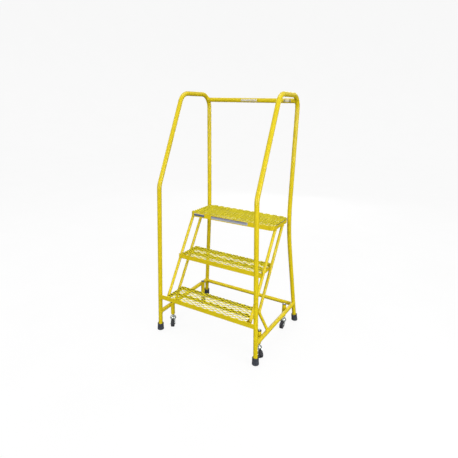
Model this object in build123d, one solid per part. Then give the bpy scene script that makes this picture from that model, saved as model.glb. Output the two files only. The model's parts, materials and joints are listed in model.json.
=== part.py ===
"""Mobile ladder stand: three expanded-metal treads in a welded tube frame with two handrails,
four rubber feet and four spring-loaded swivel casters that sink under a person's weight.

Millimetres, +Z up. X runs across the stand, the climber walks up along +Y, and the origin is the
middle of the floor under the stand. The wheels touch the floor at z = 0, and the springs hold the
rubber feet CASTER_LIFT above it.
"""

import math
import os

from build123d import *

# ---- tubes and heights -------------------------------------------------------------------------
CASTER_LIFT = 8.5  # the feet hang this far above the floor while the casters carry the stand
TUBE_OD = 27.0  # 1-1/16 inch tube of the handrails and the base
STRINGER_OD = 19.0  # 3/4 inch tube that carries the treads
TUBE_WALL = 1.65  # 16 gauge
OVERCUT = 1.0  # how far a cutting block passes the face that it cuts
PAST_ALL = 400.0  # from the origin, past the stand's sides

# ---- handrail frame, right-hand side: corners of the centreline ---------------------------------
FOOT_SOLE = CASTER_LIFT
FRONT_FOOT = Vector(359.2, -297.5, FOOT_SOLE)
FRONT_BEND = Vector(323, -297.5, 998)
TOP_FRONT = Vector(317, -58.5, 1524)
TOP_REAR = Vector(311, 228.5, 1524)
REAR_KNEE = Vector(306, 228.5, 720)
REAR_FOOT = Vector(376.4, 297.7, FOOT_SOLE)
FRONT_BEND_RADIUS = 95
TOP_BEND_RADIUS = 80
KNEE_RADIUS = 2250  # a long gentle bow where the rear leg begins to splay

# ---- cross members -----------------------------------------------------------------------------
CROSS_BAR_Y, CROSS_BAR_Z = 212.0, 1492.5  # lands on the middle of the rear top bend
SIDE_RAIL_Z = 143.0
REAR_BAR_Z = 132.5

# ---- treads: name -> top height, front face, rear face ------------------------------------------
TREADS = {
    "bottom_step": (280.2, -314.2, -131.2),
    "middle_step": (522.7, -150.5, 34.0),
    "platform": (777.7, -12.5, 237.5),
}
BAR = 3.2  # thickness of the flat bar in the nosings, frames and stiffeners
NOSING_HEIGHT = 30.0
MESH_HEIGHT = 5.8  # raised expanded metal, over both faces
TREAD_HALF = 292.5  # the steps fit between the stringers
NOSING_HALF = {"bottom_step": 356.0, "middle_step": 304.0, "platform": 304.0}
NOSING_EDGE_RADIUS = 3.0
STIFFENER_HEIGHT = 20.0
PLATFORM_FRONT_RADIUS = 25.0
PLATFORM_REAR_RADIUS = 45.0  # clears the uprights
PLATFORM_NOSING_RETURN = 12.0  # the nosing turns both front corners and ends here

# ---- expanded metal, 3/4 inch number 9 ----------------------------------------------------------
MESH_LONG, MESH_SHORT = 50.8, 23.4  # one diamond, along X and along Y
MESH_STRAND = 4.2
MESH_RIM = 4.0  # solid edge where the cut strands are welded down
CORNER_KEEP_OFF = 0.7  # how steeply the openings stay clear of the platform's rounded corners

# ---- stringers, right-hand side ------------------------------------------------------------------
STRINGER_X = 302.0
STRINGER_SLOPE = 0.603  # run over rise
FRONT_STRINGER_Y = -270.4  # where the centreline crosses STRINGER_REF_Z
REAR_STRINGER_Y = -157.5
STRINGER_REF_Z = 266.7
REAR_KNEE_Z = 268.0  # the rear stringer turns here and runs on down to the side rail
REAR_KNEE_RADIUS = 40
BRACE_END_Y = -132.5

# ---- rubber feet ---------------------------------------------------------------------------------
FOOT_RADIUS_TOP, FOOT_RADIUS_SOLE = 20.4, 21.6
FOOT_HEIGHT = 47.0
FOOT_SOLE_THICKNESS = 7.0
FOOT_LIP = 1.5  # rounding of the top rim
FOOT_SPARE = 6.0  # extra length below the sole, cut off level

# ---- caster sockets and spring legs ----------------------------------------------------------------
SOCKET_Y = {"front": -198.5, "rear": 181.5}
SOCKET_BOTTOM, SOCKET_TOP = 86.0, 174.0
SOCKET_WELD = 0.4  # how deep the side rail bites into the socket
SOCKET_BORE = TUBE_OD / 2 - TUBE_WALL
BUSHING_HEIGHT = 10.0
RUNNING_FIT = 0.1  # radial clearance of the turning and sliding fits
CAP_CLEARANCE = 0.3
CAP_SPIGOT = 12.0
CAP_HEIGHT = 2.5
CAP_RADIUS = 13.3
CAP_EDGE = 0.6
STEM_RADIUS = 6.35
STEM_TOP = SOCKET_TOP + CAP_HEIGHT + 2.0
STEM_CHAMFER = 0.8
STEM_HEAD_RADIUS, STEM_HEAD_HEIGHT = 8.0, 2.5
STEM_COLLAR_RADIUS, STEM_COLLAR_HEIGHT = 10.5, 0.6
SEAT_GAP = 0.1  # between the turning fork and the stem's head or collar
FLANGE_RADIUS, FLANGE_HEIGHT = SOCKET_BORE - CAP_CLEARANCE, 6.0
FLANGE_REST_GAP = 0.3  # the flange hangs just clear of the bushing
FLANGE_Z = SOCKET_BOTTOM + BUSHING_HEIGHT + FLANGE_REST_GAP
SPRING_WIRE, SPRING_MEAN_RADIUS, SPRING_TURNS = 2.4, 9.2, 8
SPRING_GAP = 0.15

# ---- casters: two-inch wheels, rest swivel angle of the trail from +X -------------------------------
CASTERS = {
    "front_left": (-1, "front", -59.0),
    "front_right": (1, "front", -38.0),
    "rear_left": (-1, "rear", -50.0),
    "rear_right": (1, "rear", -86.0),
}
WHEEL_RADIUS, WHEEL_WIDTH = 25.4, 22.0
TYRE_INNER_RADIUS = 16.0
TYRE_SHOULDER = 3.5
HUB_RIM, HUB_BOSS_RADIUS, HUB_DISH = 2.5, 7.5, 4.0
TRAIL = 24.0
AXLE_RADIUS = 4.0
FORK_GAP, FORK_PLATE = 24.0, 2.5
CROWN_BOTTOM, CROWN_THICKNESS, CROWN_RADIUS = 53.0, 3.0, 21.0
DOME_TOP = 72.0
DOME_SHAPE = ((0.0, 20.2), (0.45, 18.6), (0.8, 14.5), (1.0, 11.5))  # share of height, radius
FORK_EYE_RADIUS = 8.5
FORK_REAR_X, FORK_FRONT_X = -12.5, 15.5  # the fork legs' width where they leave the crown
FORK_REAR_DROP = 12.0
FORK_FRONT_AT = (TRAIL + 8.0, WHEEL_RADIUS + 2.5)  # the leg's straight edges run to here
FORK_REAR_AT = (TRAIL - 7.2, WHEEL_RADIUS - 3.0)
AXLE_HEAD_RADIUS, AXLE_HEAD_HEIGHT = 6.5, 3.5

# ---- plates stuck to the platform nosing and the cross bar ----------------------------------------
LABEL_THICKNESS = 0.3
PLATFORM_LABELS = ((-274, -193, 18.0), (-140, 129, 19.0))  # x from, x to, height
CROSS_BAR_LABELS = ((-56, 56), (231, 278))
CROSS_LABEL_TURN = 76.0  # degrees of the bar's girth that each one covers


def mirror_left(shape):
    """The left-hand twin of a right-hand shape."""
    return mirror(shape, about=Plane.YZ)


def start_plane(path):
    """The plane across a path's start, for the section to sweep from."""
    return Plane(path @ 0, z_dir=path % 0)


def pipe(path, outer_diameter, wall=None):
    """A tube swept along a path, or a solid rod where no wall is given."""
    section = start_plane(path) * Circle(outer_diameter / 2)
    if wall:
        section -= start_plane(path) * Circle(outer_diameter / 2 - wall)
    return sweep(section, path=path)


def straight(start, end, outer_diameter, wall=None):
    """A straight tube between two points."""
    return pipe(Line(start, end), outer_diameter, wall)


def on_line(start, end, height):
    """The point at a given height on the line through two points."""
    share = (height - start.Z) / (end.Z - start.Z)
    return start + (end - start) * share


def ring(outer_radius, inner_radius, bottom, top):
    """A flat-ended ring about Z."""
    face = Circle(outer_radius) - Circle(inner_radius)
    return Pos(0, 0, bottom) * extrude(face, top - bottom)


def block(x_from, x_to, y_from, y_to, z_from, z_to):
    """An upright box between two corners."""
    size = (x_to - x_from, y_to - y_from, z_to - z_from)
    return Pos((x_from + x_to) / 2, (y_from + y_to) / 2, (z_from + z_to) / 2) * Box(*size)


def tube_start(foot, other_end):
    """Where a leg's tube ends inside its rubber foot."""
    return on_line(foot, other_end, FOOT_SOLE + FOOT_SOLE_THICKNESS)


# ---- handrail frames -----------------------------------------------------------------------------
def handrail_path():
    """Centreline of the right-hand frame, from the front foot over the top to the rear foot."""
    corners = (
        tube_start(FRONT_FOOT, FRONT_BEND),
        FRONT_BEND,
        TOP_FRONT,
        TOP_REAR,
        REAR_KNEE,
        tube_start(REAR_FOOT, REAR_KNEE),
    )
    radii = (FRONT_BEND_RADIUS, TOP_BEND_RADIUS, TOP_BEND_RADIUS, KNEE_RADIUS)
    return FilletPolyline(*corners, radius=radii)


def foot(sole_centre, leg_top, leg_core):
    """A flared rubber tip around the end of a leg, cut level at the sole."""
    axis = (leg_top - sole_centre).normalized()
    base = Plane(sole_centre - axis * FOOT_SPARE, z_dir=axis)
    length = FOOT_HEIGHT + FOOT_SPARE
    flare = math.degrees(math.atan((FOOT_RADIUS_SOLE - FOOT_RADIUS_TOP) / length))
    body = extrude(base * Circle(FOOT_RADIUS_SOLE), length, dir=axis, taper=flare)
    body = fillet(body.edges().sort_by(Axis.Z)[-1], FOOT_LIP)
    reach = FOOT_RADIUS_SOLE * 2
    ground = block(-reach, reach, -reach, reach, -reach, 0)
    return body - Pos(sole_centre.X, sole_centre.Y, FOOT_SOLE) * ground - leg_core


# ---- treads ---------------------------------------------------------------------------------------
def platform_outline(front, rear, inset):
    """Rounded rectangle of the platform frame, inset from its outer face."""
    half = NOSING_HALF["platform"] - inset
    depth = rear - front - 2 * inset
    outline = Pos(0, (front + rear) / 2) * Rectangle(2 * half, depth)
    rear_corners = outline.vertices().group_by(Axis.Y)[-1]
    outline = fillet(rear_corners, PLATFORM_REAR_RADIUS - inset)
    front_corners = outline.vertices().group_by(Axis.Y)[0]
    return fillet(front_corners, PLATFORM_FRONT_RADIUS - inset)


def platform_band(front, rear):
    """The bent flat bar around the platform, seen from above."""
    return platform_outline(front, rear, 0) - platform_outline(front, rear, BAR)


def nosing(name, top, front, rear):
    """The bar along a tread's front edge."""
    half = NOSING_HALF[name]
    bottom = top - NOSING_HEIGHT
    if name == "platform":
        keep_to = front + PLATFORM_FRONT_RADIUS + PLATFORM_NOSING_RETURN
        band = extrude(platform_band(front, rear), NOSING_HEIGHT)
        cut = block(-half - OVERCUT, half + OVERCUT, front - OVERCUT, keep_to, 0, NOSING_HEIGHT)
        return Pos(0, 0, bottom) * (band & cut)
    bar = block(-half, half, front, front + BAR, bottom, top)
    ends = bar.edges().filter_by(Axis.Z).group_by(Axis.Y)[0]
    return fillet(ends, NOSING_EDGE_RADIUS)


def frame(name, top, front, rear):
    """Side bars and rear bar of a tread, under the mesh."""
    bottom = top - NOSING_HEIGHT
    height = NOSING_HEIGHT - MESH_HEIGHT
    if name == "platform":
        start = front + PLATFORM_FRONT_RADIUS + PLATFORM_NOSING_RETURN
        band = extrude(platform_band(front, rear), height)
        half = NOSING_HALF[name] + OVERCUT
        return Pos(0, 0, bottom) * (band & block(-half, half, start, rear + OVERCUT, 0, height))
    inner = TREAD_HALF - BAR
    right = block(inner, TREAD_HALF, front + BAR, rear, bottom, bottom + height)
    back = block(-inner, inner, rear - BAR, rear, bottom, bottom + height)
    return Compound(children=[right, mirror_left(right), back])


def stiffener(name, top, front, rear):
    """The bar on edge under the middle of the mesh."""
    half = (NOSING_HALF[name] if name == "platform" else TREAD_HALF) - BAR
    middle = (front + rear) / 2
    high = top - MESH_HEIGHT
    return block(-half, half, middle - BAR / 2, middle + BAR / 2, high - STIFFENER_HEIGHT, high)


def mesh_outline(name, front, rear, inset=0.0):
    """The sheet's outline seen from above: it ends against the nosing and covers the frame."""
    if name == "platform":
        sheet = platform_outline(front, rear, inset)
        lip = platform_outline(front, rear, BAR + inset)
        start = front + PLATFORM_FRONT_RADIUS + PLATFORM_NOSING_RETURN
        half = NOSING_HALF[name] + OVERCUT
        end = rear + OVERCUT
        back = Pos(0, (start + end) / 2) * Rectangle(2 * half, end - start)
        return lip + (sheet & back)
    width, depth = 2 * (TREAD_HALF - inset), rear - front - BAR - 2 * inset
    return Pos(0, (front + BAR + rear) / 2) * Rectangle(width, depth)


def diamonds(front, rear):
    """Centres of the staggered diamond openings over the whole sheet."""
    middle = (front + rear) / 2
    rows = math.ceil((rear - front) / MESH_SHORT)
    columns = math.ceil(TREAD_HALF / MESH_LONG) + 1
    for row in range(-rows, rows + 1):
        shift = MESH_LONG / 2 if row % 2 else 0.0
        for column in range(-columns, columns + 1):
            yield column * MESH_LONG + shift, middle + row * MESH_SHORT / 2


def mesh(name, top, front, rear):
    """Expanded metal: a sheet of whole diamond openings inside a solid rim."""
    long_half = MESH_LONG / 2 - MESH_STRAND * MESH_LONG / MESH_SHORT / 2
    short_half = MESH_SHORT / 2 - MESH_STRAND / 2
    half = (NOSING_HALF[name] if name == "platform" else TREAD_HALF) - MESH_RIM
    rear_corner = PLATFORM_REAR_RADIUS if name == "platform" else 0.0
    holes = []
    for x, y in diamonds(front, rear):
        if abs(x) + long_half > half or y - short_half < front + BAR + MESH_RIM:
            continue
        if y + short_half > rear - MESH_RIM:
            continue
        past_corner = max(0.0, y - rear + rear_corner)
        if abs(x) + long_half > half - past_corner * CORNER_KEEP_OFF:
            continue
        points = ((x - long_half, y), (x, y - short_half), (x + long_half, y), (x, y + short_half))
        holes.append(Wire.make_polygon([Vector(*point, 0) for point in points], close=True))
    outline = mesh_outline(name, front, rear).face()
    sheet = Face(outline.outer_wire(), holes)
    return Pos(0, 0, top - MESH_HEIGHT) * extrude(sheet, MESH_HEIGHT, dir=(0, 0, 1))


# ---- casters: built about their stem axis, trail along +X, then turned and placed ----------------
def caster_stem():
    """Sliding rod with a riveted head under the fork, a collar over it and a flange for the spring."""
    rod = Pos(0, 0, CROWN_BOTTOM - STEM_HEAD_HEIGHT) * extrude(
        Circle(STEM_RADIUS), STEM_TOP - CROWN_BOTTOM + STEM_HEAD_HEIGHT
    )
    head = Pos(0, 0, CROWN_BOTTOM - STEM_HEAD_HEIGHT - SEAT_GAP) * extrude(
        Circle(STEM_HEAD_RADIUS), STEM_HEAD_HEIGHT
    )
    collar = Pos(0, 0, DOME_TOP + SEAT_GAP) * extrude(
        Circle(STEM_COLLAR_RADIUS), STEM_COLLAR_HEIGHT
    )
    flange = Pos(0, 0, FLANGE_Z) * extrude(Circle(FLANGE_RADIUS), FLANGE_HEIGHT)
    stem = rod + head + collar + flange
    return chamfer(stem.edges().sort_by(Axis.Z)[-1], STEM_CHAMFER)


def caster_fork():
    """Pressed fork: domed raceway, crown and two raked legs."""
    half_gap = FORK_GAP / 2
    crown = Pos(0, 0, CROWN_BOTTOM) * extrude(Circle(CROWN_RADIUS), CROWN_THICKNESS)
    shoulder = CROWN_BOTTOM + CROWN_THICKNESS
    rise = DOME_TOP - shoulder
    dome = loft([Pos(0, 0, shoulder + rise * share) * Circle(r) for share, r in DOME_SHAPE])
    side = make_face(
        Polyline(
            (FORK_REAR_X, shoulder),
            (FORK_FRONT_X, shoulder),
            FORK_FRONT_AT,
            FORK_REAR_AT,
            (FORK_REAR_X, shoulder - FORK_REAR_DROP),
            close=True,
        )
    )
    side += Pos(TRAIL, WHEEL_RADIUS) * Circle(FORK_EYE_RADIUS)
    side -= Pos(TRAIL, WHEEL_RADIUS) * Circle(AXLE_RADIUS)
    plate = extrude(Plane.XZ * side, FORK_PLATE)
    far = Pos(0, half_gap + FORK_PLATE, 0) * plate
    near = Pos(0, -half_gap, 0) * plate
    fork = crown + dome + far + near
    bore = extrude(Circle(STEM_RADIUS + RUNNING_FIT), DOME_TOP)
    return fork - bore


def across_wheel(shape_face, half_width):
    """Extrudes a face drawn in the wheel's plane, evenly to both sides."""
    solid = extrude(Plane.XZ * shape_face, half_width, both=True)
    return Pos(TRAIL, 0, WHEEL_RADIUS) * solid


def caster_axle():
    """Axle bolt through both fork legs, with a hexagon on each end."""
    half = FORK_GAP / 2 + FORK_PLATE
    pin = across_wheel(Circle(AXLE_RADIUS), half)
    nut = RegularPolygon(AXLE_HEAD_RADIUS, 6)
    grown = across_wheel(nut, half + AXLE_HEAD_HEIGHT) - across_wheel(
        Circle(2 * AXLE_HEAD_RADIUS), half
    )
    return pin + grown


def wheel_hub():
    """Grey wheel core with a dished web, running on the axle."""
    core = across_wheel(Circle(TYRE_INNER_RADIUS), WHEEL_WIDTH / 2)
    hollow = Circle(TYRE_INNER_RADIUS - HUB_RIM) - Circle(HUB_BOSS_RADIUS)
    dish = across_wheel(hollow, WHEEL_WIDTH / 2)
    dish -= across_wheel(Circle(TYRE_INNER_RADIUS), WHEEL_WIDTH / 2 - HUB_DISH)
    return core - dish - across_wheel(Circle(AXLE_RADIUS + RUNNING_FIT), WHEEL_WIDTH)


def wheel_tyre():
    """Dark tread with rounded shoulders."""
    tyre = across_wheel(Circle(WHEEL_RADIUS) - Circle(TYRE_INNER_RADIUS), WHEEL_WIDTH / 2)
    circles = tyre.edges().filter_by(GeomType.CIRCLE)
    rims = circles.filter_by(lambda edge: edge.radius > TYRE_INNER_RADIUS + 1)
    return fillet(rims, TYRE_SHOULDER)


def caster_spring():
    """Compression spring between the stem's flange and the cap."""
    low = FLANGE_Z + FLANGE_HEIGHT + SPRING_GAP + SPRING_WIRE / 2
    high = SOCKET_TOP - CAP_SPIGOT - SPRING_GAP - SPRING_WIRE / 2
    path = Helix(pitch=(high - low) / SPRING_TURNS, height=high - low, radius=SPRING_MEAN_RADIUS)
    coil = sweep(start_plane(path) * Circle(SPRING_WIRE / 2), path=path, is_frenet=True)
    return Pos(0, 0, low) * coil


def socket_cap():
    """Dark plug that closes a socket and guides the stem's upper end."""
    rim = Pos(0, 0, SOCKET_TOP) * extrude(Circle(CAP_RADIUS), CAP_HEIGHT)
    rim = fillet(rim.edges().sort_by(Axis.Z)[-1], CAP_EDGE)
    spigot = Pos(0, 0, SOCKET_TOP - CAP_SPIGOT) * extrude(Circle(SOCKET_BORE), CAP_SPIGOT)
    bore = Pos(0, 0, SOCKET_TOP - CAP_SPIGOT) * extrude(
        Circle(STEM_RADIUS + CAP_CLEARANCE), CAP_SPIGOT + CAP_HEIGHT
    )
    return rim + spigot - bore


# ---- the whole stand ------------------------------------------------------------------------------
def rail_ends():
    """Where the right-hand base side rail meets the centrelines of its two legs."""
    return (
        on_line(FRONT_FOOT, FRONT_BEND, SIDE_RAIL_Z),
        on_line(REAR_FOOT, REAR_KNEE, SIDE_RAIL_Z),
    )


def socket_centre(side, row):
    """Plan position of a caster socket, against the inner face of the side rail."""
    front, rear = rail_ends()
    share = (SOCKET_Y[row] - front.Y) / (rear.Y - front.Y)
    rail_x = front.X + (rear.X - front.X) * share
    return side * (rail_x - TUBE_OD + SOCKET_WELD), SOCKET_Y[row]


def stringer_point(y_at_ref, height):
    """A point on a right-hand stringer's centreline."""
    return Vector(STRINGER_X, y_at_ref + STRINGER_SLOPE * (height - STRINGER_REF_Z), height)


def build():
    """All nodes of the stand, by name."""
    nodes = {}

    handrail = pipe(handrail_path(), TUBE_OD, TUBE_WALL)
    leg_core = pipe(handrail_path(), TUBE_OD)
    left_core = mirror_left(leg_core)
    nodes["handrail_frame_right"] = handrail
    nodes["handrail_frame_left"] = mirror_left(handrail)

    cross_end = Vector(TOP_REAR.X, CROSS_BAR_Y, CROSS_BAR_Z)
    cross_start = Vector(-TOP_REAR.X, CROSS_BAR_Y, CROSS_BAR_Z)
    cross = straight(cross_start, cross_end, TUBE_OD, TUBE_WALL)
    nodes["top_cross_bar"] = largest(cross - leg_core - left_core)

    rail_front, rail_rear = rail_ends()
    rail = straight(rail_front, rail_rear, TUBE_OD, TUBE_WALL)
    rail_core = straight(rail_front, rail_rear, TUBE_OD)
    rail = largest(rail - leg_core)
    nodes["base_side_rail_right"] = rail
    nodes["base_side_rail_left"] = mirror_left(rail)

    rear_end = on_line(REAR_FOOT, REAR_KNEE, REAR_BAR_Z)
    rear_bar = straight(Vector(-rear_end.X, rear_end.Y, rear_end.Z), rear_end, TUBE_OD, TUBE_WALL)
    rear_bar = rear_bar - leg_core - left_core - rail_core - mirror_left(rail_core)
    nodes["base_rear_bar"] = largest(rear_bar)

    platform_underside = TREADS["platform"][0] - NOSING_HEIGHT
    step_underside = TREADS["bottom_step"][0] - NOSING_HEIGHT
    over = STRINGER_OD
    front = straight(
        stringer_point(FRONT_STRINGER_Y, step_underside - over),
        stringer_point(FRONT_STRINGER_Y, platform_underside + over),
        STRINGER_OD,
        TUBE_WALL,
    )
    span = block(0, PAST_ALL, -PAST_ALL, PAST_ALL, step_underside, platform_underside)
    nodes["front_stringer_right"] = front & span
    nodes["front_stringer_left"] = mirror_left(nodes["front_stringer_right"])

    share = (BRACE_END_Y - rail_front.Y) / (rail_rear.Y - rail_front.Y)
    brace_end = rail_front + (rail_rear - rail_front) * share
    rear_path = FilletPolyline(
        stringer_point(REAR_STRINGER_Y, platform_underside + over),
        stringer_point(REAR_STRINGER_Y, REAR_KNEE_Z),
        brace_end,
        radius=REAR_KNEE_RADIUS,
    )
    rear = pipe(rear_path, STRINGER_OD, TUBE_WALL) - rail_core
    below = block(0, PAST_ALL, -PAST_ALL, PAST_ALL, 0, platform_underside)
    nodes["rear_stringer_right"] = largest(rear & below)
    nodes["rear_stringer_left"] = mirror_left(nodes["rear_stringer_right"])

    for name, sizes in TREADS.items():
        nodes[f"{name}_nosing"] = nosing(name, *sizes)
        nodes[f"{name}_frame"] = frame(name, *sizes)
        nodes[f"{name}_stiffener"] = stiffener(name, *sizes)
        nodes[f"{name}_mesh"] = mesh(name, *sizes)

    right_feet = {
        "front": foot(FRONT_FOOT, FRONT_BEND, leg_core),
        "rear": foot(REAR_FOOT, REAR_KNEE, leg_core),
    }
    for row, shape in right_feet.items():
        nodes[f"{row}_right_foot"] = shape
        nodes[f"{row}_left_foot"] = mirror_left(shape)

    caps, bushings = [], []
    tube = ring(TUBE_OD / 2, SOCKET_BORE, SOCKET_BOTTOM, SOCKET_TOP)
    bushing = ring(
        SOCKET_BORE, STEM_RADIUS + RUNNING_FIT, SOCKET_BOTTOM, SOCKET_BOTTOM + BUSHING_HEIGHT
    )
    caster_parts = {
        "stem": caster_stem(),
        "spring": caster_spring(),
        "fork": caster_fork(),
        "axle": caster_axle(),
        "wheel_hub": wheel_hub(),
        "wheel_tyre": wheel_tyre(),
    }
    for place, (side, row, turn) in CASTERS.items():
        centre_x, centre_y = socket_centre(side, row)
        core = rail_core if side > 0 else mirror_left(rail_core)
        nodes[f"{place}_socket"] = Pos(centre_x, centre_y) * tube - core
        caps.append(Pos(centre_x, centre_y) * socket_cap())
        bushings.append(Pos(centre_x, centre_y) * bushing)
        for part, shape in caster_parts.items():
            nodes[f"{place}_{part}"] = Pos(centre_x, centre_y) * Rot(0, 0, turn) * shape
    nodes["socket_caps"] = Compound(children=caps)
    nodes["socket_bushings"] = Compound(children=bushings)

    nodes["platform_labels"] = Compound(children=platform_labels())
    nodes["cross_bar_labels"] = Compound(children=cross_bar_labels())
    return nodes


def platform_labels():
    """Thin blank plates on the platform's front face."""
    top, front, _ = TREADS["platform"]
    middle = top - NOSING_HEIGHT / 2
    return [
        block(x_from, x_to, front - LABEL_THICKNESS, front, middle - tall / 2, middle + tall / 2)
        for x_from, x_to, tall in PLATFORM_LABELS
    ]


def cross_bar_labels():
    """Thin blank plates wrapped over the front of the cross bar."""
    labels = []
    for x_from, x_to in CROSS_BAR_LABELS:
        outer, inner = TUBE_OD / 2 + LABEL_THICKNESS, TUBE_OD / 2
        half = math.radians(CROSS_LABEL_TURN / 2)
        wedge = make_face(
            Polyline(
                (0, 0),
                (-2 * outer * math.cos(half), -2 * outer * math.sin(half)),
                (-2 * outer * math.cos(half), 2 * outer * math.sin(half)),
                close=True,
            )
        )
        strip = (Circle(outer) - Circle(inner)) & wedge
        solid = extrude(Plane.YZ * strip, x_to - x_from)
        labels.append(Pos(x_from, CROSS_BAR_Y, CROSS_BAR_Z) * solid)
    return labels


def largest(shape):
    """The biggest solid of a cut: a coped tube without the bits left inside its neighbours."""
    return shape.solids().sort_by(SortBy.VOLUME)[-1]


def main():
    """Writes one STEP file per node."""
    os.makedirs("parts", exist_ok=True)
    for name, shape in build().items():
        export_step(shape, f"parts/{name}.step")


main()
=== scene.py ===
"""Looks of the mobile ladder stand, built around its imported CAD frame. Metres, +Z up.

The CAD tubes and bars stay and get powder-coat materials. The flat CAD mesh plates, plain feet and
label plates are replaced: raised expanded metal, moulded rubber tips and plain printed films. Weld
beads follow the coped tube ends, read from the CAD meshes.
"""

import json
import math

import bmesh
import bpy
from mathutils import Matrix, Vector, noise


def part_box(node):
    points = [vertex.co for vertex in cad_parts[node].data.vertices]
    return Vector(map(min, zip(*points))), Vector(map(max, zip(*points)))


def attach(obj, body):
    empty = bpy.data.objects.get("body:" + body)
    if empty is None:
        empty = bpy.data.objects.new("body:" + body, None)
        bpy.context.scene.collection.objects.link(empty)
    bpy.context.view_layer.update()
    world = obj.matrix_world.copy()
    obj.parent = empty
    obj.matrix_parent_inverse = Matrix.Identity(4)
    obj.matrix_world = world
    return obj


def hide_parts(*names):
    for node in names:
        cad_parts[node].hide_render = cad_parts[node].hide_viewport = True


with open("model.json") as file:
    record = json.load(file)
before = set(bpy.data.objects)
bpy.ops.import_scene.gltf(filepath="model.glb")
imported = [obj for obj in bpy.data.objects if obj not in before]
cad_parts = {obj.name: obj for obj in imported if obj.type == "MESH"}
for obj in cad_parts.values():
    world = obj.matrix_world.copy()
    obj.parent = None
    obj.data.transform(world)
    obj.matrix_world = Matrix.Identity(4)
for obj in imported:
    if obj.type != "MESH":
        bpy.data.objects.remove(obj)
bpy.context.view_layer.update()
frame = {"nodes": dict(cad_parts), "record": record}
NODES = frame["nodes"]

MM = 0.001
PLACES = ("front_left", "front_right", "rear_left", "rear_right")
TREADS = ("bottom_step", "middle_step", "platform")

# ---- camera, solved for the product view --------------------
CAMERA_AT = Vector((1.1540, -2.0331, 1.4662))
CAMERA_YAW, CAMERA_PITCH, CAMERA_ROLL = 29.773, -18.488, 1.133  # degrees
LENS_MM, SENSOR_MM = 30.03, 36.0
SHIFT_Y = 0.0067

# ---- expanded metal --------------------
MESH_LONG, MESH_SHORT = 50.8 * MM, 23.4 * MM
STRAND_WIDTH, STRAND_THICK = 3.45 * MM, 3.0 * MM
STRAND_TILT = math.radians(33)
BOND_LONG = 9.0 * MM
STRAND_CHAMFER = 0.45 * MM
STRAND_LAP = 1.03  # widened a little, so that the two strands of a bond overlap
STRAND_WOBBLE = 0.12 * MM
GRAIN_STEP = 7.3  # sets each strand's wobble apart from the next one's
BOND_STATIONS = (-0.5, -0.3, 0.0, 0.3, 0.5)  # along a bond, as shares of its length
LEG_SHARES = (0.12, 0.5, 0.88)  # along a leg from one bond to the next
SHADE_PAINTED_SIDES = (2, 3, 4, 5, 6)  # the strand's faces with painted shade: one edge and the underside
SHEET_INSET, SHEET_FRONT_INSET = 0.6 * MM, 0.2 * MM  # from the plate's edge to the sheet's
PLATFORM_CORNERS = (22 * MM, 45 * MM)  # radii at the front and at the rear

SHADED_BAND = 12.0 * MM  # depth under the sheet to which the frame bars' inner faces get painted shade
# colour of the painted shade on those faces
SHADED_COLOUR = (0.10, 0.08, 0.003)

# ---- stage --------------------
FLOOR_GLOW = 0.91
FLOOR_FLAT, FLOOR_BEND, FLOOR_WALL = 9.0, 4.0, 20.0  # radius, bend radius, wall's top, metres
FLOOR_SIDES, FLOOR_BEND_STEPS = 64, 12
FLOOR_SINK = 0.0002
FLOOR_GREYS = ((0.3, (0.075, 0.075, 0.075)), (0.7, (0.085, 0.085, 0.085)))
SKY_STRENGTH = 0.53
SKY_STOPS = ((0.43, (0.12, 0.12, 0.12, 1)), (0.50, (1, 1, 1, 1)))  # 0.5 is the horizon
LIGHTS = (  # name, place, the point it is aimed at, side in metres, power in watts
    ("key", (0.2, -3.8, 1.3), (0, 0, 0.6), 1.8, 56),
    ("right", (3.4, -0.9, 1.4), (0, 0, 0.5), 1.8, 66),
    ("left", (-3.4, -1.6, 2.0), (0, 0, 0.6), 1.8, 18),
    ("top", (0.0, 0.4, 4.8), (0, 0, 0.4), 2.4, 50),
    ("back", (-1.2, 3.9, 1.6), (0, 0, 0.7), 2.2, 36),
)

# ---- tubes --------------------
TUBE_RADIUS = 13.5 * MM
BEAD_RADIUS = 2.3 * MM
BEAD_STEP_MM = 1.1
RIPPLE_MM = 3.4  # from one ripple of a bead to the next
BRACE_FOOT, STRINGER_HEAD = 12 * MM, 1 * MM  # how far a stringer's coped ends reach
NOSING_BEAD, NOSING_BEAD_LONG, NOSING_UPRIGHT_BEAD = 2.0 * MM, 16 * MM, 2.4 * MM
CONTACT_BEAD, CONTACT_STEP = 2.6 * MM, 2.2 * MM  # where a socket touches the side rail
CONTACT_OUT, CONTACT_TAPER, CONTACT_SINK = 6.5 * MM, 0.25, 1.2 * MM
FOOT_AXES = {  # x and y of a sole's middle, and the way its leg leans
    "front": (359.2 * MM, -297.5 * MM, (-36.2, 0.0, 989.5)),
    "rear": (376.4 * MM, 297.7 * MM, (-70.4, -69.2, 711.5)),
}
FOOT_SIDES = 72
FOOT_BLEND = 8  # mm over the sole, up to which the tip turns from level to leaning
FOOT_BORE, FOOT_SEAT = 13.45, 45.0  # mm: the tip's bore, and how high its closing face lies


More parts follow.
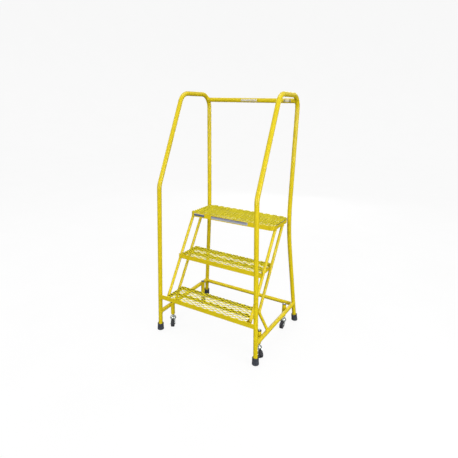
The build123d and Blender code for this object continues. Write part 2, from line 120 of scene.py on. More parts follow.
# ============================================================ materials
class Shader:
    """A small builder around one material's node tree."""

    def __init__(self, name):
        self.material = bpy.data.materials.new(name)
        self.material.use_nodes = True
        self.nodes = self.material.node_tree.nodes
        self.links = self.material.node_tree.links
        self.bsdf = self.nodes["Principled BSDF"]
        self.place = self.nodes.new("ShaderNodeTexCoord").outputs["Object"]

    def set(self, **values):
        """Sets sockets of the main shader, given with underscores for spaces."""
        for key, value in values.items():
            self.bsdf.inputs[key.replace("_", " ")].default_value = value

    def noise(self, scale, detail=3.0, rough=0.55, stretch=None):
        """A noise pattern in object space."""
        tex = self.nodes.new("ShaderNodeTexNoise")
        tex.inputs["Scale"].default_value = scale
        tex.inputs["Detail"].default_value = detail
        tex.inputs["Roughness"].default_value = rough
        vector = self.place
        if stretch:
            mapping = self.nodes.new("ShaderNodeMapping")
            mapping.inputs["Scale"].default_value = stretch
            self.links.new(vector, mapping.inputs["Vector"])
            vector = mapping.outputs["Vector"]
        self.links.new(vector, tex.inputs["Vector"])
        return tex.outputs["Fac"]

    def ramp(self, factor, *stops):
        """A colour ramp of (position, colour) stops."""
        ramp = self.nodes.new("ShaderNodeValToRGB")
        elements = ramp.color_ramp.elements
        while len(elements) < len(stops):
            elements.new(0.5)
        for element, (position, colour) in zip(elements, stops):
            element.position = position
            element.color = (*colour, 1.0)
        self.links.new(factor, ramp.inputs["Fac"])
        return ramp.outputs["Color"]

    def spread(self, factor, low, high, start=0.3, end=0.7):
        """A number that goes from low to high as a factor goes from start to end."""
        node = self.nodes.new("ShaderNodeMapRange")
        node.inputs["From Min"].default_value = start
        node.inputs["From Max"].default_value = end
        node.inputs["To Min"].default_value = low
        node.inputs["To Max"].default_value = high
        self.links.new(factor, node.inputs["Value"])
        return node.outputs["Result"]

    def colour(self, socket):
        self.links.new(socket, self.bsdf.inputs["Base Color"])

    def roughness(self, socket):
        self.links.new(socket, self.bsdf.inputs["Roughness"])

    def shaded_inside(self, colour, centre):
        """Paints shade: darkens the faces that look towards a point, in a band under the point's
        height.
        """
        offset = self.nodes.new("ShaderNodeVectorMath")
        offset.operation = "SUBTRACT"
        offset.inputs[1].default_value = centre + Vector((0, 0, SHADED_BAND))
        self.links.new(self.place, offset.inputs[0])
        facing = self.nodes.new("ShaderNodeVectorMath")
        facing.operation = "DOT_PRODUCT"
        self.links.new(offset.outputs[0], facing.inputs[0])
        self.links.new(self.place.node.outputs["Normal"], facing.inputs[1])
        inside = self.spread(facing.outputs["Value"], 1.0, 0.0, -0.001, 0.0)
        height = self.nodes.new("ShaderNodeSeparateXYZ")
        self.links.new(self.place, height.inputs[0])
        low, high = centre.z - SHADED_BAND, centre.z - SHADED_BAND / 2
        near_top = self.spread(height.outputs["Z"], 0.0, 1.0, low, high)
        both = self.nodes.new("ShaderNodeMath")
        both.operation = "MULTIPLY"
        self.links.new(inside, both.inputs[0])
        self.links.new(near_top, both.inputs[1])
        mix = self.nodes.new("ShaderNodeMix")
        mix.data_type = "RGBA"
        self.links.new(both.outputs[0], mix.inputs["Factor"])
        self.links.new(colour, mix.inputs["A"])
        mix.inputs["B"].default_value = (*SHADED_COLOUR, 1.0)
        return mix.outputs["Result"]

    def bump(self, *layers):
        """Stacks bump layers of (height, strength, distance)."""
        normal = None
        for height, strength, distance in layers:
            node = self.nodes.new("ShaderNodeBump")
            node.inputs["Strength"].default_value = strength
            node.inputs["Distance"].default_value = distance
            self.links.new(height, node.inputs["Height"])
            if normal:
                self.links.new(normal, node.inputs["Normal"])
            normal = node.outputs["Normal"]
        self.links.new(normal, self.bsdf.inputs["Normal"])


def powder_coat(name, light, deep, shaded=None):
    """Gloss powder coat: soft flow marks, orange peel and a faint change of film thickness.

    Where a point is given, painted shade darkens the faces turned towards it in a band below its
    height.
    """
    s = Shader(name)
    s.set(Coat_Weight=0.30, Coat_Roughness=0.06, Specular_IOR_Level=0.18)
    coat = s.ramp(s.noise(9.0, 2.0), (0.32, deep), (0.68, light))
    s.colour(s.shaded_inside(coat, shaded) if shaded else coat)
    s.roughness(s.spread(s.noise(60.0, 3.0), 0.30, 0.42))
    s.bump((s.noise(420.0, 2.0), 0.10, 0.0006), (s.noise(55.0, 2.0), 0.05, 0.0015))
    return s.material


def moulded_rubber(name, light, deep):
    """Matt rubber with a fine grain and a dusty bloom."""
    s = Shader(name)
    s.set(Specular_IOR_Level=0.35, Sheen_Weight=0.08, Sheen_Roughness=0.5)
    s.colour(s.ramp(s.noise(45.0, 4.0), (0.35, deep), (0.70, light)))
    s.roughness(s.spread(s.noise(150.0, 2.0), 0.58, 0.78))
    s.bump((s.noise(1100.0, 2.0), 0.25, 0.0003), (s.noise(90.0, 3.0), 0.12, 0.0008))
    return s.material


def bright_zinc(name, light, deep, rough_from, rough_to):
    """Zinc plate: a bright metal with a faint cloudy passivation and draw marks."""
    s = Shader(name)
    s.set(Metallic=0.8)
    s.colour(s.ramp(s.noise(70.0, 4.0), (0.30, deep), (0.70, light)))
    s.roughness(s.spread(s.noise(210.0, 3.0), rough_from, rough_to))
    s.bump((s.noise(700.0, 3.0, stretch=(1, 1, 0.15)), 0.10, 0.0003))
    return s.material


def moulded_plastic(name, light, deep, rough_from, rough_to):
    """Injection-moulded plastic with a light spark-eroded texture."""
    s = Shader(name)
    s.colour(s.ramp(s.noise(60.0, 2.0), (0.35, deep), (0.65, light)))
    s.roughness(s.spread(s.noise(180.0, 2.0), rough_from, rough_to))
    s.bump((s.noise(1500.0, 2.0), 0.18, 0.0002))
    return s.material


YELLOW_LIGHT, YELLOW_DEEP = (0.790, 0.620, 0.012), (0.740, 0.575, 0.009)
MATERIALS = {
    "frame_yellow": powder_coat("frame_yellow_coat", YELLOW_LIGHT, YELLOW_DEEP),
    # painted light: the mesh's yellow is a lighter copy of the frame's powder coat
    "mesh_yellow": powder_coat("mesh_yellow_painted_light_coat", (0.98, 0.85, 0.022), (0.92, 0.79, 0.017)),
    # painted shade: a dark copy of the mesh's yellow for the strands' edge and underside
    "mesh_painted_shade": powder_coat("mesh_painted_shade_coat", (0.19, 0.150, 0.004), (0.13, 0.105, 0.003)),
    "foot_rubber": moulded_rubber("foot_rubber", (0.062, 0.070, 0.090), (0.036, 0.041, 0.054)),
    "zinc": bright_zinc("bright_zinc", (0.64, 0.68, 0.66), (0.42, 0.46, 0.45), 0.20, 0.36),
    "spring_steel": bright_zinc("spring_steel", (0.62, 0.62, 0.63), (0.5, 0.5, 0.52), 0.25, 0.35),
    "cap_black": moulded_plastic("cap_black", (0.030, 0.030, 0.034), (0.02, 0.02, 0.023), 0.35, 0.5),
    "nylon": moulded_plastic("nylon_natural", (0.80, 0.78, 0.72), (0.74, 0.72, 0.66), 0.4, 0.55),
    "wheel_grey": moulded_plastic("wheel_grey", (0.30, 0.30, 0.31), (0.24, 0.24, 0.25), 0.4, 0.55),
    "tyre_black": moulded_rubber("tyre_black", (0.046, 0.048, 0.056), (0.024, 0.025, 0.030)),
}


def paint_cad_nodes():
    """Gives every CAD node the material of its record slot; the treads' frame bars and stiffeners get
    painted shade under the sheet.
    """
    slots = {s["node"]: s["material_slot"] for s in frame["record"]["subparts"]}
    for name, obj in NODES.items():
        material = MATERIALS.get(slots[name])
        if material:
            obj.data.materials.clear()
            obj.data.materials.append(material)
    for tread in TREADS:
        low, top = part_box(f"{tread}_frame")
        middle = Vector((0, (low.y + top.y) / 2, top.z))
        # a copy of the frame coat with painted shade on the bars' inner faces under the sheet
        under = powder_coat(f"{tread}_under_sheet_painted_shade_coat", YELLOW_LIGHT, YELLOW_DEEP, shaded=middle)
        NODES[f"{tread}_frame"].data.materials[0] = under
        NODES[f"{tread}_stiffener"].data.materials[0] = under


# ============================================================ mesh helpers
def new_object(name, bm, material):
    """Turns a bmesh into a smooth scene object with one material."""
    data = bpy.data.meshes.new(name)
    bm.normal_update()
    bm.to_mesh(data)
    bm.free()
    for polygon in data.polygons:
        polygon.use_smooth = True
    data.materials.append(material)
    obj = bpy.data.objects.new(name, data)
    bpy.context.scene.collection.objects.link(obj)
    return obj


def shade_by_angle(obj, degrees):
    """Keeps edges sharper than an angle crisp, in plain mesh data."""
    data = obj.data
    bm = bmesh.new()
    bm.from_mesh(data)
    for edge in bm.edges:
        if len(edge.link_faces) == 2:
            edge.smooth = edge.calc_face_angle(0.0) < math.radians(degrees)
    bm.to_mesh(data)
    bm.free()


def sweep_tube(bm, points, radii, closed, sides=10):
    """Adds a tube along points to a bmesh, with its own radius at each point."""
    count = len(points)
    rings = []
    side = None
    for k, point in enumerate(points):
        ahead = points[(k + 1) % count] if closed or k + 1 < count else point
        behind = points[k - 1] if closed or k else point
        forward = (ahead - behind).normalized()
        if side is None:
            side = forward.orthogonal().normalized()
        side = (side - forward * side.dot(forward)).normalized()
        other = forward.cross(side)
        ring = []
        for j in range(sides):
            a = 2 * math.pi * j / sides
            offset = (side * math.cos(a) + other * math.sin(a)) * radii[k]
            ring.append(bm.verts.new(point + offset))
        rings.append(ring)
    pairs = list(zip(rings, rings[1:]))
    if closed:
        # the last ring may have turned against the first, so match it to the nearest vertex
        last, first = rings[-1], rings[0]
        turn = min(range(sides), key=lambda j: (last[0].co - first[j].co).length)
        pairs.append((last, first[turn:] + first[:turn]))
    for low, high in pairs:
        for j in range(sides):
            bm.faces.new((low[j], low[(j + 1) % sides], high[(j + 1) % sides], high[j]))
    if not closed:
        bm.faces.new(rings[0][::-1])
        bm.faces.new(rings[-1])


# ============================================================ weld beads
def resample(points, step, closed):
    """Evenly spaced points along a polyline."""
    line = points + [points[0]] if closed else points
    lengths = [(b - a).length for a, b in zip(line, line[1:])]
    total = sum(lengths)
    count = max(3, round(total / step))
    wanted = [total * k / count for k in range(count + (0 if closed else 1))]
    found, walked, at = [], 0.0, 0
    for distance in wanted:
        while at < len(lengths) - 1 and walked + lengths[at] < distance:
            walked += lengths[at]
            at += 1
        share = (distance - walked) / max(lengths[at], 1e-9)
        found.append(line[at].lerp(line[at + 1], min(max(share, 0.0), 1.0)))
    return found


def bead(bm, points, closed, radius=BEAD_RADIUS, seed=0.0):
    """Adds a rippled weld bead along a line."""
    line = resample(points, BEAD_STEP_MM * MM, closed)
    radii = []
    for k, point in enumerate(line):
        ripple = 0.10 * math.sin(k * BEAD_STEP_MM * 2 * math.pi / RIPPLE_MM)
        lump = 0.16 * noise.noise(point * 140 + Vector((seed, 0, 0)))
        taper = 1.0
        if not closed:
            from_end = min(k, len(line) - 1 - k)
            taper = min(1.0, 0.45 + 0.25 * from_end)
        radii.append(radius * (1 + ripple + lump) * taper)
    sweep_tube(bm, line, radii, closed, sides=8)


def sharp_loops(name, degrees=32.0):
    """Lines of sharp edges of a CAD node, as ordered lists of points.

    A line that branches is followed one way only, so it can end before it closes.
    """
    bm = bmesh.new()
    bm.from_mesh(NODES[name].data)
    bmesh.ops.remove_doubles(bm, verts=bm.verts, dist=1e-6)
    limit = math.radians(degrees)
    bm.edges.index_update()
    # in the mesh's own order, so that every run finds the same lines
    sharp = {}
    for edge in bm.edges:
        if len(edge.link_faces) == 2 and edge.calc_face_angle(0.0) > limit:
            sharp[edge.index] = edge
    loops = []
    while sharp:
        edge = sharp.pop(next(iter(sharp)))
        chain = [edge.verts[0], edge.verts[1]]
        grown = True
        while grown:
            grown = False
            for e in chain[-1].link_edges:
                if e.index in sharp:
                    del sharp[e.index]
                    chain.append(e.other_vert(chain[-1]))
                    grown = True
                    break
        if len(chain) > 8:
            loops.append([v.co.copy() for v in chain])
    bm.free()
    return loops


def loop_length(points):
    return sum((b - a).length for a, b in zip(points, points[1:]))


def cope_bead(bm, name, near, reach=0.04, seed=0.0):
    """Adds a bead along the outer edge of a node's end that lies near a point."""
    found = []
    for loop in sharp_loops(name):
        middle = sum(loop, Vector()) / len(loop)
        if (middle - near).length < reach:
            found.append(loop)
    if found:
        longest = max(found, key=loop_length)
        bead(bm, longest[:-1], True, seed=seed)


def end_middle(name, axis, high):
    """Middle of a node's box on one of its ends."""
    low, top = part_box(name)
    middle = (low + top) / 2
    middle[axis] = (top if high else low)[axis]
    return middle


def middle_of(name, wanted):
    """Middle of those vertices of a CAD node whose height is wanted."""
    points = [v.co for v in NODES[name].data.vertices if wanted(v.co.z)]
    return sum(points, Vector()) / len(points)


def weld_beads():
    """All the frame's weld beads, as one painted piece."""
    bm = bmesh.new()
    for high in (False, True):
        cope_bead(bm, "top_cross_bar", end_middle("top_cross_bar", 0, high), seed=1.0 + high)
        cope_bead(bm, "base_rear_bar", end_middle("base_rear_bar", 0, high), seed=3.0 + high)
    for side, sign in (("left", -1), ("right", 1)):
        rail = f"base_side_rail_{side}"
        low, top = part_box(rail)
        mid_z = (low.z + top.z) / 2
        front = Vector((sign * (min(abs(low.x), abs(top.x)) + TUBE_RADIUS), low.y, mid_z))
        rear = Vector((sign * (max(abs(low.x), abs(top.x)) - TUBE_RADIUS), top.y, mid_z))
        cope_bead(bm, rail, front, seed=5.0)
        cope_bead(bm, rail, rear, seed=6.0)
        brace = f"rear_stringer_{side}"
        foot_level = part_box(brace)[0].z + BRACE_FOOT
        cope_bead(bm, brace, middle_of(brace, lambda z: z < foot_level), seed=7.0)
        for stringer in (f"front_stringer_{side}", brace):
            head_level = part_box(stringer)[1].z - STRINGER_HEAD
            cope_bead(bm, stringer, middle_of(stringer, lambda z: z > head_level), seed=8.0)
        for row in ("front", "rear"):
            socket_contact(bm, f"{row}_{side}_socket", rail, sign)
    tread_beads(bm)
    welds = new_object("weld_beads", bm, MATERIALS["frame_yellow"])
    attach(welds, "ladder")


def socket_contact(bm, socket, rail, sign):
    """Two short beads where a caster socket touches the side rail."""
    low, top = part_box(socket)
    rail_low, rail_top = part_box(rail)
    height = (rail_low.z + rail_top.z) / 2
    middle = (low + top) / 2
    contact_x = middle.x + sign * TUBE_RADIUS
    for dy in (-1, 1):
        points = []
        for k in range(9):
            dz = (k - 4) * CONTACT_STEP
            out = CONTACT_OUT - abs(dz) * CONTACT_TAPER
            points.append(Vector((contact_x - sign * CONTACT_SINK, middle.y + dy * out, height + dz)))
        bead(bm, points, False, radius=CONTACT_BEAD, seed=9.0 + dy)


def tread_beads(bm):
    """Beads between the lowest step's nosing and the front legs."""
    low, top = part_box("bottom_step_nosing")
    for sign in (-1, 1):
        end_x = sign * top.x
        for z in (low.z + 0.3 * MM, top.z - 0.3 * MM):
            points = [Vector((end_x - sign * k * 2 * MM, top.y + 0.4 * MM, z)) for k in range(9)]
            bead(bm, points, False, radius=NOSING_BEAD, seed=z)
        inner = end_x - sign * NOSING_BEAD_LONG
        points = [Vector((inner, top.y + 0.2 * MM, low.z + k * 3 * MM)) for k in range(11)]
        bead(bm, points, False, radius=NOSING_UPRIGHT_BEAD, seed=12.0)


# ============================================================ expanded metal
def strand_stations(middle_y, row, x_from, x_to):
    """Centres of one zigzag strand between bond rows row and row + 1, from left to right."""
    half_long = MESH_LONG / 2
    lean = STRAND_WIDTH / 2 * math.cos(STRAND_TILT)
    rise = STRAND_WIDTH / 2 * math.sin(STRAND_TILT)
    start = math.floor(x_from / half_long) - 1
    stop = math.ceil(x_to / half_long) + 1
    stations = []
    for i in range(start, stop + 1):
        on_low_row = (i + row) % 2 == 0
        y = middle_y + (row + (0 if on_low_row else 1)) * MESH_SHORT / 2
        y += lean if on_low_row else -lean
        z = rise if on_low_row else -rise
        for part in BOND_STATIONS:
            stations.append((i * half_long + part * BOND_LONG, y, z))
    return stations


def add_strand(bm, stations, top_z, half_height, grain):
    """Adds one strand: a tilted bar with rounded edges that follows its stations."""
    tilt = Vector((0, math.cos(STRAND_TILT), math.sin(STRAND_TILT)))
    flat = Vector((0, -math.sin(STRAND_TILT), math.cos(STRAND_TILT)))
    w, t, c = STRAND_WIDTH / 2 * STRAND_LAP, STRAND_THICK / 2, STRAND_CHAMFER
    corners = (
        (w, t - c), (w - c, t), (c - w, t), (-w, t - c),
        (-w, c - t), (c - w, -t), (w - c, -t), (w, c - t),
    )
    line = []
    for (x0, y0, z0), (x1, y1, z1) in zip(stations, stations[1:]):
        line.append((x0, y0, z0))
        if x1 - x0 > MESH_LONG / 4:
            for share in LEG_SHARES:
                ease = share * share * (3 - 2 * share)
                line.append((x0 + (x1 - x0) * share, y0 + (y1 - y0) * ease, z0 + (z1 - z0) * ease))
    line.append(stations[-1])
    rings = []
    for x, y, z in line:
        wobble = STRAND_WOBBLE * noise.noise(Vector((x * 60, y * 60, grain)))
        centre = Vector((x, y, top_z - half_height + z + wobble))
        rings.append([bm.verts.new(centre + tilt * a + flat * b) for a, b in corners])
    for low, high in zip(rings, rings[1:]):
        for j in range(8):
            k = (j + 1) % 8
            face = bm.faces.new((low[j], high[j], high[k], low[k]))
            # the edge and underside faces get the painted-shade material
            face.material_index = 1 if j in SHADE_PAINTED_SIDES else 0
    bm.faces.new(rings[0])
    bm.faces.new(rings[-1][::-1])


def clip(bm, point, outward):
    """Cuts away what lies beyond a plane, and closes the cut ends."""
    geometry = bm.verts[:] + bm.edges[:] + bm.faces[:]
    cut = bmesh.ops.bisect_plane(
        bm, geom=geometry, plane_co=point, plane_no=outward, clear_outer=True, dist=1e-7
    )
    edges = [e for e in cut["geom_cut"] if isinstance(e, bmesh.types.BMEdge) and e.is_boundary]
    if edges:
        bmesh.ops.holes_fill(bm, edges=edges, sides=0)


def rounded_planes(x_half, y_low, y_high, radii):
    """Planes (point, outward) of a rounded rectangle; radii for its low-Y and high-Y corners."""
    planes = [
        (Vector((x_half, 0, 0)), Vector((1, 0, 0))),
        (Vector((-x_half, 0, 0)), Vector((-1, 0, 0))),
        (Vector((0, y_low, 0)), Vector((0, -1, 0))),
        (Vector((0, y_high, 0)), Vector((0, 1, 0))),
    ]
    for y, direction, radius in ((y_low, -1, radii[0]), (y_high, 1, radii[1])):
        if radius <= 0:
            continue
        for sign in (-1, 1):
            centre = Vector((sign * (x_half - radius), y - direction * radius, 0))
            for k in range(1, 8):
                a = math.radians(90 * k / 8)
                outward = Vector((sign * math.cos(a), direction * math.sin(a), 0))
                planes.append((centre + outward * radius, outward))
    return planes


def expanded_sheet(tread, radii=(0.0, 0.0)):
    """Raised expanded metal in the space of a tread's CAD mesh plate."""
    node = f"{tread}_mesh"
    low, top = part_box(node)
    middle = (low.y + top.y) / 2
    rows = math.ceil((top.y - low.y) / MESH_SHORT) + 1
    tall = 2 * STRAND_WIDTH * math.sin(STRAND_TILT) + STRAND_THICK * math.cos(STRAND_TILT)
    half_height = tall / 2
    bm = bmesh.new()
    for row in range(-rows, rows):
        stations = strand_stations(middle, row, low.x, top.x)
        add_strand(bm, stations, top.z, half_height, row * GRAIN_STEP)
    x_half, y_low, y_high = top.x - SHEET_INSET, low.y + SHEET_FRONT_INSET, top.y - SHEET_INSET
    for point, outward in rounded_planes(x_half, y_low, y_high, radii):
        clip(bm, point, outward)
    sheet = new_object(f"{tread}_expanded_metal", bm, MATERIALS["mesh_yellow"])
    # second slot: painted shade on the strands' edge and underside
    sheet.data.materials.append(MATERIALS["mesh_painted_shade"])
    shade_by_angle(sheet, 40)
    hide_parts(node)
    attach(sheet, "ladder")


# ============================================================ rubber feet
def foot_tip(place):
    """Moulded rubber tip: rolled rim, waisted wall, grip rings and a chamfered, level sole."""
    node = f"{place}_foot"
    low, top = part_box(node)
    sign = -1 if "left" in place else 1
    x, y, lean = FOOT_AXES[place.split("_")[0]]
    sole = Vector((sign * x, y, low.z))
    up = Vector((sign * lean[0], lean[1], lean[2])).normalized()
    profile = (  # radius and height along the leg, mm
        (14.3, 45.9), (15.4, 46.8), (17.6, 47.0), (19.2, 46.5), (20.1, 45.2), (20.4, 43.4),
        (20.3, 42.2), (19.8, 41.6), (19.8, 40.6), (20.0, 34.0), (20.2, 26.0), (20.5, 17.0),
        (20.9, 10.5), (21.4, 8.0), (21.6, 6.2), (21.6, 2.6), (21.0, 1.0), (19.7, 0.0),
        (16.6, 0.0), (15.8, 1.2), (12.0, 1.2), (11.2, 0.0), (7.0, 0.0), (6.2, 1.2), (0.0, 1.2),
    )
    sides = FOOT_SIDES
    bm = bmesh.new()
    turn = Vector((0, 0, 1)).rotation_difference(up).to_matrix()
    level = low.z
    rings = []
    for radius, height in profile:
        ring = []
        for k in range(sides if radius else 1):
            a = 2 * math.pi * k / sides
            point = sole + turn @ Vector((radius * math.cos(a), radius * math.sin(a), height)) * MM
            if height < FOOT_BLEND:
                # the sole is level, the wall follows the leg
                share = height / FOOT_BLEND
                flat_z = level + height * MM
                point.z = flat_z + (point.z - flat_z) * share
            ring.append(bm.verts.new(point))
        rings.append(ring)
    for high, lower in zip(rings, rings[1:]):
        for k in range(sides):
            j = (k + 1) % sides
            if len(lower) == 1:
                bm.faces.new((high[k], lower[0], high[j]))
            else:
                bm.faces.new((high[k], lower[k], lower[j], high[j]))
    # inwards to the tube, so that no gap shows at the rim
    inner = []
    for k in range(sides):
        a = 2 * math.pi * k / sides
        around = Vector((FOOT_BORE * math.cos(a), FOOT_BORE * math.sin(a), FOOT_SEAT))
        at = sole + turn @ around * MM
        inner.append(bm.verts.new(at))
    for k in range(sides):
        j = (k + 1) % sides
        bm.faces.new((rings[0][k], rings[0][j], inner[j], inner[k]))
    bm.faces.new(inner)
    bmesh.ops.recalc_face_normals(bm, faces=bm.faces[:])
    tip = new_object(f"{place}_rubber_tip", bm, MATERIALS["foot_rubber"])
    shade_by_angle(tip, 50)
    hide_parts(node)
    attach(tip, "ladder")


# ============================================================ labels
def stripes(name, axis, start, end, bars):
    """Printed film with plain colour bars that follow one axis between two places."""
    s = Shader(name)
    s.set(Roughness=0.3, Specular_IOR_Level=0.45)
    separate = s.nodes.new("ShaderNodeSeparateXYZ")
    s.links.new(s.place, separate.inputs[0])
    ramp = s.nodes.new("ShaderNodeValToRGB")
    ramp.color_ramp.interpolation = "CONSTANT"
    elements = ramp.color_ramp.elements
    while len(elements) < len(bars):
        elements.new(0.5)
    for element, (position, colour) in zip(elements, bars):
        element.position = position
        element.color = (*colour, 1.0)
    s.colour(ramp.outputs["Color"])
    place = s.spread(separate.outputs[axis], 0.0, 1.0, start, end)
    s.links.new(place, ramp.inputs["Fac"])
    s.bump((s.noise(800.0, 2.0), 0.03, 0.0001))
    return s.material


PALE, BLUE_GREY, DARK_BLUE = (0.56, 0.57, 0.66), (0.20, 0.22, 0.31), (0.07, 0.08, 0.16)
WHITE_FILM = (0.72, 0.73, 0.76)
PLATFORM_BARS = (  # (place from the plate's lower edge, colour), left plate and right plate
    (
        (0.0, DARK_BLUE),
        (0.12, BLUE_GREY),
        (0.30, (0.10, 0.13, 0.20)),
        (0.62, BLUE_GREY),
        (0.9, PALE),
    ),
    (
        (0.0, PALE),
        (0.18, (0.42, 0.44, 0.55)),
        (0.46, BLUE_GREY),
        (0.62, PALE),
        (0.74, DARK_BLUE),
        (0.9, BLUE_GREY),
    ),
)
CROSS_BAR_BARS = (  # (place from the film's left end, colour), left film and right film
    ((0.0, WHITE_FILM), (0.5, WHITE_FILM)),
    ((0.0, BLUE_GREY), (0.25, WHITE_FILM), (0.75, BLUE_GREY)),
)
FILM_THICK = 0.22 * MM
PLATE_SINK, FILM_LIFT = 0.02 * MM, 0.03 * MM
FILM_AROUND, FILM_ALONG = 8, 24  # cells of a film on the cross bar


def split_solids(name):
    """Vertices of each separate solid of a CAD node, as lists of points."""
    bm = bmesh.new()
    bm.from_mesh(NODES[name].data)
    bmesh.ops.remove_doubles(bm, verts=bm.verts, dist=1e-6)
    left, groups = set(bm.verts), []
    while left:
        stack, group = [left.pop()], []
        while stack:
            vert = stack.pop()
            group.append(vert.co.copy())
            for edge in vert.link_edges:
                other = edge.other_vert(vert)
                if other in left:
                    left.discard(other)
                    stack.append(other)
        groups.append(group)
    bm.free()
    return sorted(groups, key=lambda g: min(p.x for p in g))


def bounds_of(points):
    """Low and high corners of the box around some points."""
    return (
        Vector([min(p[k] for p in points) for k in range(3)]),
        Vector([max(p[k] for p in points) for k in range(3)]),
    )


def film(name, points_grid, material, body, node):
    """A thin printed film through a grid of points, with a little thickness."""
    bm = bmesh.new()
    rows = [[bm.verts.new(p) for p in row] for row in points_grid]
    for low, high in zip(rows, rows[1:]):
        for a, b, c, d in zip(low, low[1:], high[1:], high):
            bm.faces.new((a, b, c, d))
    obj = new_object(name, bm, material)
    thick = obj.modifiers.new("thickness", "SOLIDIFY")
    thick.thickness = FILM_THICK
    thick.offset = 1.0
    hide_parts(node)
    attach(obj, body)


def corner_cut_grid(low, top, y, columns=40, rows=6, round_by=2.2 * MM):
    """Grid of a flat plate in the XZ plane, with rounded corners."""
    grid = []
    for r in range(rows + 1):
        v = r / rows
        z = low.z + (top.z - low.z) * v
        # how far the plate's ends pull in near its corners
        near = min(v, 1 - v) * (top.z - low.z)
        pull = round_by - math.sqrt(max(0.0, round_by**2 - max(0.0, round_by - near) ** 2))
        line = []
        for c in range(columns + 1):
            x = low.x + pull + (top.x - low.x - 2 * pull) * c / columns
            line.append(Vector((x, y, z)))
        grid.append(line)
    return grid


def labels():
    """Plain printed films on the platform's nosing and on the cross bar."""
    for k, points in enumerate(split_solids("platform_labels")):
        low, top = bounds_of(points)
        name = f"platform_film_{k}"
        material = stripes(name, "Z", low.z, top.z, PLATFORM_BARS[k])
        grid = corner_cut_grid(low, top, top.y - PLATE_SINK)
        film(name, grid, material, "ladder", "platform_labels")
    bar_low, bar_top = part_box("top_cross_bar")
    centre = (bar_low + bar_top) / 2
    reach = TUBE_RADIUS + FILM_LIFT
    for k, points in enumerate(split_solids("cross_bar_labels")):
        low, top = bounds_of(points)
        angles = [math.atan2(p.z - centre.z, p.y - centre.y) % (2 * math.pi) for p in points]
        start, end = min(angles), max(angles)
        grid = []
        for r in range(FILM_AROUND + 1):
            a = start + (end - start) * r / FILM_AROUND
            y, z = centre.y + reach * math.cos(a), centre.z + reach * math.sin(a)
            line = []
            for c in range(FILM_ALONG + 1):
                line.append(Vector((low.x + (top.x - low.x) * c / FILM_ALONG, y, z)))
            grid.append(line)
        name = f"cross_bar_film_{k}"
        material = stripes(name, "X", low.x, top.x, CROSS_BAR_BARS[k])
        film(name, grid, material, "ladder", "cross_bar_labels")


# ============================================================ the stage
def make_floor():
    """Pale floor that turns up into a round backdrop, with a faint glow of its own."""
    profile = [(FLOOR_FLAT, 0.0)]
    for k in range(1, FLOOR_BEND_STEPS + 1):
        a = math.pi / 2 * k / FLOOR_BEND_STEPS
        profile.append((FLOOR_FLAT + FLOOR_BEND * math.sin(a), FLOOR_BEND * (1 - math.cos(a))))
    profile.append((FLOOR_FLAT + FLOOR_BEND, FLOOR_WALL))
    turns = [2 * math.pi * k / FLOOR_SIDES for k in range(FLOOR_SIDES)]
    bm = bmesh.new()
    rings = []
    for radius, height in profile:
        ring = []
        for a in turns:
            ring.append(bm.verts.new((radius * math.cos(a), radius * math.sin(a), height)))
        rings.append(ring)
    bm.faces.new(rings[0])
    for low, high in zip(rings, rings[1:]):
        for k in range(FLOOR_SIDES):
            j = (k + 1) % FLOOR_SIDES
            bm.faces.new((high[k], high[j], low[j], low[k]))
    s = Shader("pale_floor")
    s.set(Roughness=0.9, Specular_IOR_Level=0.0)
    s.set(Emission_Color=(1, 1, 1, 1), Emission_Strength=FLOOR_GLOW)
    s.colour(s.ramp(s.noise(2.0, 2.0), *FLOOR_GREYS))
    floor = new_object("pale_floor", bm, s.material)
    floor.location.z = -FLOOR_SINK
    floor.visible_diffuse = False
    floor.visible_glossy = False
    floor.visible_shadow = False


def area_light(name, at, towards, side, power):
    """A soft square light aimed at a point."""
    data = bpy.data.lights.new(name, "AREA")
    data.shape = "RECTANGLE"
    data.size = data.size_y = side
    data.energy = power
    obj = bpy.data.objects.new(name, data)
    obj.location = at
    obj.rotation_euler = (Vector(towards) - Vector(at)).to_track_quat("-Z", "Y").to_euler()
    bpy.context.scene.collection.objects.link(obj)


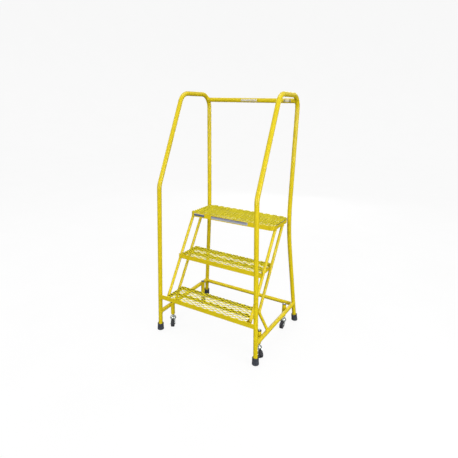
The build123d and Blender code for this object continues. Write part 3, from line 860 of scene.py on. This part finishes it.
def lights():
    """Soft boxes under an even pale sky that darkens below the horizon."""
    for light in LIGHTS:
        area_light(*light)
    world = bpy.data.worlds.new("pale_surround")
    world.use_nodes = True
    tree = world.node_tree
    separate = tree.nodes.new("ShaderNodeSeparateXYZ")
    ramp = tree.nodes.new("ShaderNodeValToRGB")
    height = tree.nodes.new("ShaderNodeMapRange")
    height.inputs["From Min"].default_value = -1.0
    where = tree.nodes.new("ShaderNodeTexCoord").outputs["Generated"]
    tree.links.new(where, separate.inputs[0])
    tree.links.new(separate.outputs["Z"], height.inputs["Value"])
    tree.links.new(height.outputs["Result"], ramp.inputs["Fac"])
    for element, (position, colour) in zip(ramp.color_ramp.elements, SKY_STOPS):
        element.position, element.color = position, colour
    background = tree.nodes["Background"]
    tree.links.new(ramp.outputs["Color"], background.inputs["Color"])
    background.inputs["Strength"].default_value = SKY_STRENGTH
    bpy.context.scene.world = world


def camera():
    """Camera at the product view's angle."""
    yaw, pitch, roll = (math.radians(a) for a in (CAMERA_YAW, CAMERA_PITCH, CAMERA_ROLL))
    forward = Vector(
        (-math.sin(yaw) * math.cos(pitch), math.cos(yaw) * math.cos(pitch), math.sin(pitch))
    )
    level_right = Vector((math.cos(yaw), math.sin(yaw), 0))
    level_up = level_right.cross(forward)
    right = level_right * math.cos(roll) + level_up * math.sin(roll)
    up = level_up * math.cos(roll) - level_right * math.sin(roll)
    data = bpy.data.cameras.new("product_view")
    data.lens = LENS_MM
    data.sensor_width = SENSOR_MM
    data.shift_y = SHIFT_Y
    obj = bpy.data.objects.new("product_view", data)
    rotation = Matrix((right, up, -forward)).transposed()
    obj.matrix_world = Matrix.Translation(CAMERA_AT) @ rotation.to_4x4()
    bpy.context.scene.collection.objects.link(obj)
    bpy.context.scene.camera = obj
    bpy.context.scene.view_settings.view_transform = "Standard"


paint_cad_nodes()
expanded_sheet("bottom_step")
expanded_sheet("middle_step")
expanded_sheet("platform", PLATFORM_CORNERS)
for place in PLACES:
    foot_tip(place)
labels()
weld_beads()
make_floor()
lights()
camera()

bpy.context.view_layer.update()
